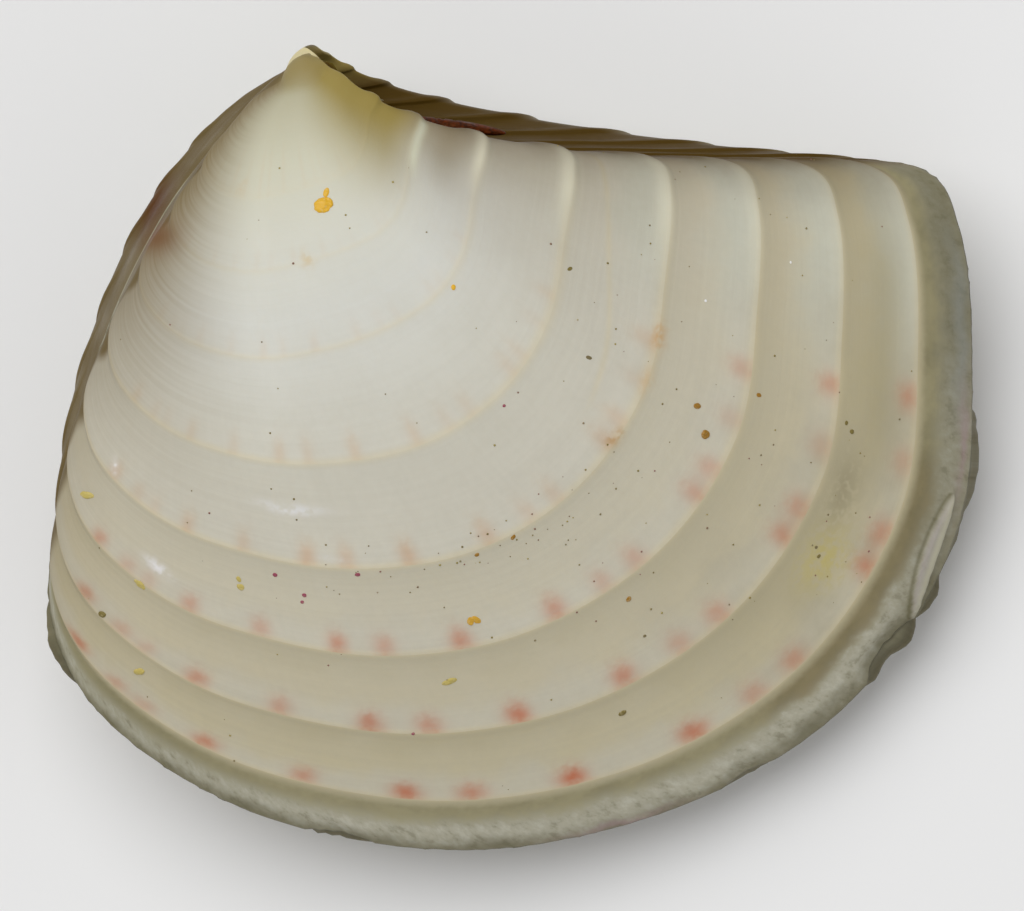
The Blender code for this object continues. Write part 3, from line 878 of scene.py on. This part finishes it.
def stained(paint, along, age, band, here, cloud, lines, front_reach):
    """The stains over the bands, with painted shade on the front and rear slopes, in the hollow by the
    hinge and over it, and painted highlights on the ridge and knobs there. Front_reach is how far the brown
    front, stain and painted shade, spreads.
    """
    # painted shade on the front slope, broken by fine lines
    front = along.smooth(0.24, 0.43, 1.0, 0.0) * age.smooth(0.25, 0.66, 1.0, 0.2)
    paint = (front * lines.between(0.35, 0.65, 0.84, 0.98)).mix(paint, SHADE_GREY)
    # painted shade on the rear slope, strongest by the hinge
    rear = (along.smooth(0.60, 0.76) + along.smooth(0.70, 0.76, 0.0, 0.5)) * age.smooth(0.25, 0.80, 1.0, 0.15)
    paint = (rear * 0.5).mix(paint, SHADE_GREY)
    # painted shade in the hollow below the ridge by the hinge
    hollow_shade = age.bell(0.325, 0.028) * along.smooth(0.66, 0.73)
    paint = (hollow_shade * 0.5).mix(paint, SHADE_GREY)
    yellow = (along + (0.2 - age) * 0.4).smooth(0.54, 0.73) * age.smooth(0.23, 0.31, 1.0, 0.0)
    yellow = yellow.math("MAXIMUM", age.smooth(0.0, 0.06, 0.7, 0.0))
    paint = (yellow * 0.92).mix(paint, YELLOW_STAIN)
    # the ridge by the hinge: partly its pale colour, partly a painted highlight
    ridge_pale_and_highlight = age.bell(0.285, 0.007) * along.smooth(0.66, 0.70) * along.smooth(0.755, 0.77, 1.0, 0.0)
    paint = (ridge_pale_and_highlight * 0.8).mix(paint, RIDGE_PALE_AND_HIGHLIGHT)
    # the knobs by the hinge: partly their pale colour, partly a painted highlight
    knob = ((band + 0.5).math("FRACT") - 0.5).bell(-0.05, 0.10) * age.smooth(0.33, 0.35)
    knob = knob * age.smooth(0.60, 0.90, 0.80, 0.30)
    knob = knob * along.smooth(0.69, 0.74) * along.smooth(0.768, 0.782, 1.0, 0.0)
    paint = (knob * 0.7).mix(paint, KNOB_PALE_AND_HIGHLIGHT)
    # over the hinge: brown stain with painted shade in it, where the valve turns away
    hinge = (along + (cloud - 0.5) * 0.012).smooth(0.732, 0.800) ** 1.5
    paint = (hinge * age.smooth(0.12, 0.29)).mix(paint, HINGE_STAIN_AND_SHADE)
    # painted shade in brown along the front edge of the disc
    front_edge_shade = along.between(front_reach - 0.015, front_reach + 0.085, 1.0, 0.0) ** 2.0
    paint = (front_edge_shade * age.smooth(0.4, 0.6, 0.65, 0.5)).mix(paint, FRONT_STAIN_AND_SHADE)
    # the front slope past a scalloped line: brown stain with painted shade
    notch = band.math("FRACT").smooth(0.0, 0.8, 0.014, -0.012) * age.smooth(0.55, 0.75, 1.0, 0.3)
    brown = along - notch + (cloud - 0.5) * 0.008
    brown = brown.smooth(front_reach - 0.005, front_reach + 0.005, 1.0, 0.0)
    paint = (brown * cloud.between(0.3, 0.7, 0.75, 1.0)).mix(paint, FRONT_STAIN_AND_SHADE)
    x, y, z = here.parts()
    for (place_x, place_y, place_z), turn, (length, width, depth), colour in BROWN_MARKS:
        away_x, away_y = x / MM - place_x, y / MM - place_y
        run = away_x * math.cos(turn) + away_y * math.sin(turn)
        off = away_y * math.cos(turn) - away_x * math.sin(turn)
        mark = run.bell(0.0, length) * (off + (cloud - 0.5) * 0.2).bell(0.0, width)
        mark = mark * (z / MM).bell(place_z, depth) * along.smooth(0.30, 0.34, 1.0, 0.0)
        paint = (mark * 0.95).mix(paint, colour)
    return paint


def blotted(paint, along, age, cloud, grain):
    """Single stains and chalky scuffs, broken up by the noise."""
    broken = (cloud * 0.4 + grain * 0.6).smooth(0.40, 0.58, 0.25, 1.0)
    for place, time, reach, span, colour, strength in BLOTS:
        blot = along.bell(place, reach) * (age + (cloud - 0.5) * 0.02).bell(time, span)
        paint = (blot * broken * strength).mix(paint, colour)
    return paint


def lip_colour(along, age, cloud, grain):
    """The groove, dull and darkened as painted shade below the last crest, and the pale, chalky lip outside
    it, darker towards its front and rear ends and at its rim, the rim partly as painted shade.
    """
    place = age + (cloud - 0.5) * 0.03 + (grain - 0.5) * 0.006
    # the groove: partly dull colour, partly painted shade below the last crest
    edge = place.smooth(0.948, 0.972).mix(GROOVE_DULL_AND_SHADE, LIP)
    brown = along.smooth(0.53, 0.56) * along.smooth(0.65, 0.67, 1.0, 0.0)
    edge = (brown * place.smooth(0.955, 0.970, 1.0, 0.0) * 0.38).mix(edge, GROOVE_BROWN)
    blots = (cloud * 0.8 + grain * 0.2).smooth(0.36, 0.66) * place.bell(0.953, 0.012)
    edge = (blots * 0.3).mix(edge, LIP_DARK_AND_SHADE)
    chalk = noise((along * 220.0).join(age * 60.0, 0.0), 1.0, 3.0, 0.65)
    edge = (chalk.smooth(0.46, 0.70) * place.smooth(0.958, 0.972) * 0.6).mix(edge, CHALK)
    edge = (chalk.smooth(0.32, 0.48, 1.0, 0.0) * place.smooth(0.958, 0.972) * 0.35).mix(edge, LIP_DARK_AND_SHADE)
    rear = along.smooth(0.575, 0.65, 0.0, 0.75) + along.smooth(0.66, 0.72, 0.0, 0.45)
    rear = rear * place.smooth(0.945, 0.972, 0.2, 0.62)
    edge = rear.mix(edge, LIP_DARK_AND_SHADE)
    front = along.smooth(0.27, 0.38, 0.3, 0.0)
    edge = front.mix(edge, LIP_DARK_AND_SHADE)
    # the very rim: partly its own darker colour, partly painted shade
    rim_dark_and_shade = place.smooth(0.976, 1.0) * along.smooth(0.60, 0.66, 0.75, 0.1)
    edge = rim_dark_and_shade.mix(edge, LIP_DARK_AND_SHADE)
    blue = place.bell(0.985, 0.010) * along.smooth(0.66, 0.70) * along.smooth(0.72, 0.76, 1.0, 0.0)
    edge = (blue * 0.22).mix(edge, RIM_BLUE)
    pink = place.bell(0.990, 0.006) * along.bell(0.668, 0.018)
    pink = pink + place.bell(0.993, 0.005) * along.bell(0.47, 0.02)
    return (pink * 0.28).mix(edge, RIM_PINK)


def flake_colour(paint, along, age):
    """The blade of lip that has cracked free: a painted shadow round its inner side, and a pale face with
    painted shade on its inner half.
    """
    half_width, across = flake_place(along, age)
    # a painted shadow along the inner side of the raised blade
    crack = (half_width - across.math("ABSOLUTE")).bell(-0.1, 0.25) * across.smooth(0.0, 0.3, 1.0, 0.0)
    paint = (crack * half_width.smooth(0.0, 0.3) * 0.6).mix(paint, LIP_DARK_AND_SHADE)
    # the face painted lighter on its outer side and darker on its inner side, as painted light and shade
    lit_and_shaded_face = across.smooth(-0.7, 0.3).mix(FLAKE_SHADE, FLAKE)
    return (flake_lift(along, age) * 0.8).mix(paint, lit_and_shaded_face)


# %% [markdown]
# The material puts the layers together. It reads the attributes that the valve tree stored, and Object
# coordinates for the noise. A thin veil of grey cloud and fine lines keeps the paint from looking printed,
# and a little subsurface scattering gives the depth of thin shell.

# %% Shell material


def dress_shell(material, front_reach, flaked, tip):
    """Front_reach is how far the brown front spreads round the edge, and tip is the colour of the beak, which
    is lightened on the far valve as painted light.
    """
    material.use_nodes = True
    tree = material.node_tree
    shader = tree.nodes["Principled BSDF"]
    along, age, band = (Wire.add(tree, "ShaderNodeAttribute", output=2, attribute_name=name)
                        for name in ("along", "age", "band"))
    here = Wire.add(tree, "ShaderNodeTexCoord", output=3)
    cloud = noise(here, 800.0, 3.0, 0.55)
    grain = noise(here, 6000.0, 1.0)
    rays = noise((along * 260.0).join(age * 5.0, 0.0), 1.0, 2.0)
    lines = noise((along * 4.0).join(age * 170.0, 0.0), 1.0, 2.0)

    paint = bands_colour(along, age, band, cloud, grain)
    veil = (cloud * 0.5 + rays * 0.12 + lines * 0.23 + grain * 0.15).between(0.38, 0.62, 0.0, 0.22)
    veil = veil * age.smooth(0.1, 0.6)
    paint = veil.mix(paint, GREY)
    paint = stained(paint, along, age, band, here, cloud, lines, front_reach)
    # the beak's colour; on the far valve it is lightened as painted light
    paint = age.smooth(0.025, 0.090, 0.85, 0.0).mix(paint, tip)
    past = (age + (grain - 0.5) * 0.002).smooth(0.935, 0.947) * along.smooth(0.770, 0.785, 1.0, 0.0)
    paint = past.mix(paint, lip_colour(along, age, cloud, grain))
    if flaked:
        paint = blotted(paint, along, age, cloud, grain)
        paint = flake_colour(paint, along, age)
    tree.links.new(paint.socket, shader.inputs["Base Color"])

    relief = lines * 0.5 + rays * 0.1 + grain * 0.4
    bump = relief.node("ShaderNodeBump", {"Height": relief, "Strength": 0.6, "Distance": 0.012 * MM})
    tree.links.new(bump.socket, shader.inputs["Normal"])
    tree.links.new(cloud.between(0.3, 0.7, 0.40, 0.55).socket, shader.inputs["Roughness"])
    shader.inputs["Subsurface Weight"].default_value = 0.12
    shader.inputs["Subsurface Radius"].default_value = (1.0, 0.8, 0.6)
    shader.inputs["Subsurface Scale"].default_value = 0.25 * MM
    shader.inputs["IOR"].default_value = 1.5
    shader.inputs["Specular IOR Level"].default_value = 0.1
    print(material.name, "nodes:", len(tree.nodes))


dress_shell(left_shell, 0.225, True, TIP_NEAR)
dress_shell(right_shell, 0.30, False, TIP_FAR_LIT)

# %% [markdown]
# ## The ligament
#
# A clam has no pin in its hinge. A short band of dark horn joins the valves behind the beaks, and it
# springs them open when the muscles let go. It is made of fibres that run along it, so its rule is a
# spindle with fine ridges along its length, cracked across where the horn has dried.

# %% The ligament
# where it runs in the shell's own plane, in millimetres
LIGAMENT_START = Vector((1.80, -1.36, 0.0))
LIGAMENT_END = Vector((4.20, -1.74, 0.0))
LIGAMENT_SIZES = {
    "Length": (LIGAMENT_END - LIGAMENT_START).length,
    "Depth": 0.27,
    "Width": 0.52,
    "Fibre height": 0.22,
    "Crack depth": 0.16,
}


def ligament_tree():
    """The tree of the ligament, a ball drawn out along its third axis."""
    tree, sizes = new_tree("ligament_fibres", LIGAMENT_SIZES)
    ball = Wire.add(tree, "GeometryNodeMeshUVSphere", {"Segments": 120, "Rings": 90, "Radius": 0.5})
    here = Wire.add(tree, "GeometryNodeInputPosition")
    x, y, z = here.parts()
    fibre = noise((x * 16.0).join(y * 16.0, z * 1.6), 1.0, 3.0, 0.6)
    crack = noise((x * 1.5).join(y * 1.5, z * 16.0), 1.0, 2.0, 0.5).smooth(0.56, 0.66)
    stout = 1.0 + (fibre - 0.5) * sizes["Fibre height"] - crack * sizes["Crack depth"]
    spindle = (z * sizes["Length"]).join(y * sizes["Depth"] * stout, x * sizes["Width"] * stout * -1.0)
    band = Wire.add(tree, "GeometryNodeSetPosition", {"Geometry": ball, "Position": spindle})
    for label, value in (("fibre", fibre), ("crack", crack)):
        band = store(band, label, value)
    finish_tree(tree, band, sizes["Material"])
    return tree


horn = bpy.data.materials.new("ligament_horn")
ligament = run_tree("ligament_horn", ligament_tree(), edge_mesh(), {**LIGAMENT_SIZES, "Material": horn})
run = LIGAMENT_END - LIGAMENT_START
laid = Matrix.Rotation(math.atan2(run.y, run.x), 4, "Z")
laid = Matrix.Translation((LIGAMENT_START + LIGAMENT_END) / 2) @ laid
ligament.data.transform(Matrix.Translation(place) @ resting_turn.to_4x4() @ Matrix.Scale(MM, 4) @ laid)
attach(ligament, "root")
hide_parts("ligament")
print("ligament volume mm3:", round(volume(ligament)[0] / MM ** 3, 3))

# %% [markdown]
# The horn runs from dark to red-brown; it is painted darkest in the grooves between its fibres and in its
# cracks, as painted shade, and dusty on top.

# %% Horn material
# HORN_DARK_AND_SHADE: the dark horn, laid in the grooves and cracks as painted shade
HORN_DARK_AND_SHADE = tone(46, 18, 2)
HORN_RED = tone(98, 42, 8)
HORN_DUST = tone(106, 74, 30)


def dress_horn(material):
    """Dark red-brown horn, from the attributes that the ligament's tree stored, with painted shade in the
    grooves between the fibres and in the cracks.
    """
    material.use_nodes = True
    tree = material.node_tree
    shader = tree.nodes["Principled BSDF"]
    fibre, crack = (Wire.add(tree, "ShaderNodeAttribute", output=2, attribute_name=name)
                    for name in ("fibre", "crack"))
    here = Wire.add(tree, "ShaderNodeTexCoord", output=3)
    cloud = noise(here, 2400.0, 3.0, 0.6)
    # darkest in the grooves between the fibres: painted shade
    paint = fibre.between(0.35, 0.65).mix(HORN_DARK_AND_SHADE, HORN_RED)
    paint = (cloud.smooth(0.5, 0.7) * 0.25).mix(paint, HORN_DUST)
    # the cracks darkened as painted shade
    paint = (crack * 0.6).mix(paint, HORN_DARK_AND_SHADE)
    tree.links.new(paint.socket, shader.inputs["Base Color"])
    bump = fibre.node("ShaderNodeBump", {"Height": cloud, "Strength": 0.5, "Distance": 0.02 * MM})
    tree.links.new(bump.socket, shader.inputs["Normal"])
    tree.links.new(cloud.between(0.3, 0.7, 0.35, 0.6).socket, shader.inputs["Roughness"])
    shader.inputs["Specular IOR Level"].default_value = 0.08
    print(material.name, "nodes:", len(tree.nodes))


dress_horn(horn)

# %% [markdown]
# ## Grains stuck to the shell
#
# A shell from the sea floor is never clean. A few grains are large enough to be known one by one: an
# orange flake near the beak, an amber bead, crumbs of yellow and a few purple dots. Their places are
# given in the shell's own two numbers, so they sit on the surface whatever its size. The fine specks are
# scattered by rule, thickest along two crests where they caught.

# %% Grains
GRAINS = (
    # along, age, length and width in millimetres, turn in degrees, tint
    (0.536, 0.225, 0.42, 0.34, 10, 0.1), (0.546, 0.215, 0.22, 0.12, 60, 0.1),
    (0.483, 0.707, 0.26, 0.14, 120, 0.2), (0.481, 0.712, 0.20, 0.14, 80, 0.2),
    (0.455, 0.776, 0.34, 0.15, 0, 0.3), (0.259, 0.703, 0.34, 0.16, 60, 0.3),
    (0.302, 0.745, 0.30, 0.15, 0, 0.3), (0.296, 0.876, 0.26, 0.17, 50, 0.3),
    (0.369, 0.671, 0.15, 0.10, 140, 0.3), (0.370, 0.683, 0.17, 0.15, 0, 0.3),
    (0.630, 0.706, 0.20, 0.20, 0, 0.0), (0.642, 0.684, 0.18, 0.13, 90, 0.0),
    (0.506, 0.868, 0.18, 0.14, 0, 0.5), (0.276, 0.838, 0.18, 0.15, 30, 0.5),
    (0.663, 0.857, 0.10, 0.08, 0, 0.5), (0.659, 0.859, 0.12, 0.10, 80, 0.5),
    (0.610, 0.871, 0.08, 0.08, 0, 0.6), (0.606, 0.877, 0.10, 0.09, 0, 0.5),
    (0.660, 0.754, 0.14, 0.09, 80, 0.0), (0.680, 0.510, 0.13, 0.08, 90, 0.5),
    (0.546, 0.757, 0.14, 0.11, 20, 0.0), (0.633, 0.557, 0.14, 0.08, 80, 0.6),
    (0.537, 0.806, 0.08, 0.07, 0, 0.6), (0.527, 0.629, 0.14, 0.09, 30, 0.0),
    (0.505, 0.631, 0.11, 0.10, 0, 0.0), (0.610, 0.384, 0.12, 0.10, 0, 0.1),
    (0.394, 0.646, 0.10, 0.09, 0, 0.8), (0.403, 0.674, 0.09, 0.09, 0, 0.8),
    (0.407, 0.672, 0.10, 0.09, 0, 0.8), (0.442, 0.633, 0.12, 0.09, 0, 0.8),
    (0.575, 0.512, 0.07, 0.07, 0, 0.8), (0.426, 0.843, 0.08, 0.08, 0, 0.8),
    # the two white grains here stand for painted glints
    (0.695, 0.681, 0.06, 0.06, 0, 1.0), (0.724, 0.774, 0.06, 0.05, 0, 1.0),
)
GRAIN_HEIGHT = 0.35  # of its width
GRAIN_NUMBERS = {"Lumpiness": 0.35}
# specks to a square millimetre, then their radii in millimetres
SPECK_NUMBERS = {"Density": 0.75, "Crest density": 9.0, "Smallest": 0.010, "Largest": 0.030}
SPECK_TINTS = (0.40, 0.73)  # the least and the most tint of a speck


def grain_points(valve):
    """A vertex for each named grain on the outside of the valve, with its turn, size and tint."""
    count = len(valve.data.vertices)
    read = {}
    for name in ("along", "age", "outside"):
        read[name] = np.empty(count)
        valve.data.attributes[name].data.foreach_get("value", read[name])
    points = bpy.data.meshes.new("grain_points")
    spots, turns, sizes, tints = [], [], [], []
    for along, age, length, width, turn, tint in GRAINS:
        away = (read["along"] - along) ** 2 + (read["age"] - age) ** 2 * 0.2 + (read["outside"] < 0.5)
        vertex = valve.data.vertices[int(away.argmin())]
        upright = vertex.normal.to_track_quat("Z", "Y").to_matrix()
        spots.append(vertex.co)
        turns.extend((upright @ Matrix.Rotation(math.radians(turn), 3, "Z")).to_euler())
        sizes.extend((length * MM / 2, width * MM / 2, width * GRAIN_HEIGHT * MM / 2))
        tints.append(tint)
    points.from_pydata(spots, [], [])
    points.attributes.new("turn", "FLOAT_VECTOR", "POINT").data.foreach_set("vector", turns)
    points.attributes.new("size", "FLOAT_VECTOR", "POINT").data.foreach_set("vector", sizes)
    points.attributes.new("tint", "FLOAT", "POINT").data.foreach_set("value", tints)
    return points


def grain_tree():
    """A lumpy pebble on every point of the input. The lumps are a share of its width."""
    tree, sizes = new_tree("grains", GRAIN_NUMBERS)
    turn, size = (Wire.add(tree, "GeometryNodeInputNamedAttribute", {"Name": name}, data_type="FLOAT_VECTOR")
                  for name in ("turn", "size"))
    pebble = Wire.add(tree, "GeometryNodeMeshIcoSphere", {"Radius": 1.0, "Subdivisions": 4})
    here = Wire.add(tree, "GeometryNodeInputPosition")
    values = {"Points": sizes["Geometry"], "Instance": pebble, "Rotation": turn, "Scale": size}
    grains = Wire.add(tree, "GeometryNodeInstanceOnPoints", values)
    grains = Wire.add(tree, "GeometryNodeRealizeInstances", {"Geometry": grains})
    _, half_width, _ = size.parts()
    lump = (noise(here, 9000.0, 2.0) - 0.5) * sizes["Lumpiness"] * half_width * 2.0
    normal = Wire.add(tree, "GeometryNodeInputNormal")
    grains = Wire.add(tree, "GeometryNodeSetPosition", {"Geometry": grains, "Offset": normal.scaled(lump)})
    finish_tree(tree, grains, sizes["Material"])
    return tree


def speck_tree():
    """Fine specks scattered over the outside, thickest along the fifth and sixth crests."""
    tree, sizes = new_tree("fine_specks", SPECK_NUMBERS)
    along, age, outside = (Wire.add(tree, "GeometryNodeInputNamedAttribute", {"Name": name},
                                    data_type="FLOAT") for name in ("along", "age", "outside"))
    caught = age.bell(0.635, 0.028) + age.bell(0.756, 0.018) * along.smooth(0.50, 0.53) * 0.5
    caught = caught * along.smooth(0.40, 0.47) * along.smooth(0.57, 0.62, 1.0, 0.0)
    rear = along.smooth(0.50, 0.60) * age.smooth(0.45, 0.60)
    density = sizes["Density"] * (0.35 + rear) + sizes["Crest density"] * caught
    density = density * outside.math("GREATER_THAN", 0.5) * age.smooth(0.1, 0.2)
    density = density * age.smooth(0.93, 0.94, 1.0, 0.0)
    per_area = along.smooth(0.22, 0.26) / MM ** 2
    values = {"Mesh": sizes["Geometry"], "Density": density * per_area, "Seed": 11}
    spread = Wire.add(tree, "GeometryNodeDistributePointsOnFaces", values, distribute_method="RANDOM")
    facing = Wire(spread.socket.node.outputs[2])
    size = Wire.add(tree, "FunctionNodeRandomValue", {2: sizes["Smallest"], 3: sizes["Largest"], "Seed": 3},
                    1, data_type="FLOAT")
    size = size * MM
    tint = Wire.add(tree, "FunctionNodeRandomValue", {2: SPECK_TINTS[0], 3: SPECK_TINTS[1], "Seed": 5}, 1,
                    data_type="FLOAT")
    speck = Wire.add(tree, "GeometryNodeMeshIcoSphere", {"Radius": 1.0, "Subdivisions": 1})
    spread = store(spread, "tint", tint)
    values = {"Points": spread, "Instance": speck, "Rotation": facing, "Scale": size.join(size, size * 0.6)}
    finish_tree(tree, Wire.add(tree, "GeometryNodeInstanceOnPoints", values), sizes["Material"])
    return tree


grit = bpy.data.materials.new("grit")
grains = run_tree("stuck_grains", grain_tree(), grain_points(left_valve), {**GRAIN_NUMBERS, "Material": grit})
specks = run_tree("fine_specks", speck_tree(), left_valve.data, {**SPECK_NUMBERS, "Material": grit})
for piece in (grains, specks):
    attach(piece, "root")
    print(piece.name, "faces:", len(piece.data.polygons))

# %% [markdown]
# One material serves all the grains. A ramp turns each grain's `tint` into its colour: amber, orange,
# yellow, olive, purple and white; the white grains are painted glints.

# %% Grit material
GRIT_TINTS = (
    (0.00, tone(152, 108, 14)), (0.05, tone(160, 116, 18)), (0.10, tone(224, 174, 34)),
    (0.20, tone(206, 158, 40)), (0.30, tone(190, 172, 92)), (0.50, tone(118, 104, 44)),
    (0.62, tone(116, 104, 70)), (0.80, tone(148, 66, 86)), (0.92, tone(120, 70, 50)),
    # white: a painted glint
    (1.00, tone(240, 240, 240)),
)


def dress_grit(material):
    """One material for grains and specks, coloured by each one's tint."""
    material.use_nodes = True
    tree = material.node_tree
    shader = tree.nodes["Principled BSDF"]
    tint = Wire.add(tree, "ShaderNodeAttribute", output=2, attribute_name="tint")
    here = Wire.add(tree, "ShaderNodeTexCoord", output=3)
    patches = noise(here, 14000.0, 2.0)
    paint = tint.node("ShaderNodeValToRGB", {"Fac": tint}, stops=GRIT_TINTS)
    paint = (patches.smooth(0.5, 0.7) * 0.25).mix(paint, CREAM)
    tree.links.new(paint.socket, shader.inputs["Base Color"])
    tree.links.new(patches.between(0.3, 0.7, 0.4, 0.7).socket, shader.inputs["Roughness"])
    print(material.name, "nodes:", len(tree.nodes))


dress_grit(grit)

# %% [markdown]
# ## The floor
#
# A plain pale floor catches the shadow. It is part of the stage, not of the model.

# %% Floor
FLOOR_REACH = 0.4
floor_mesh = bpy.data.meshes.new("floor")
corners = [(x * FLOOR_REACH, y * FLOOR_REACH, 0.0) for x, y in ((-1, -1), (1, -1), (1, 1), (-1, 1))]
floor_mesh.from_pydata(corners, [], [(0, 1, 2, 3)])
floor = bpy.data.objects.new("floor", floor_mesh)
scene.collection.objects.link(floor)
floor_material = bpy.data.materials.new("floor")
floor_material.use_nodes = True
floor_material.node_tree.nodes["Principled BSDF"].inputs["Base Color"].default_value = (0.8, 0.8, 0.8, 1)
floor_mesh.materials.append(floor_material)
print("floor, mm:", round(2 * FLOOR_REACH / MM))
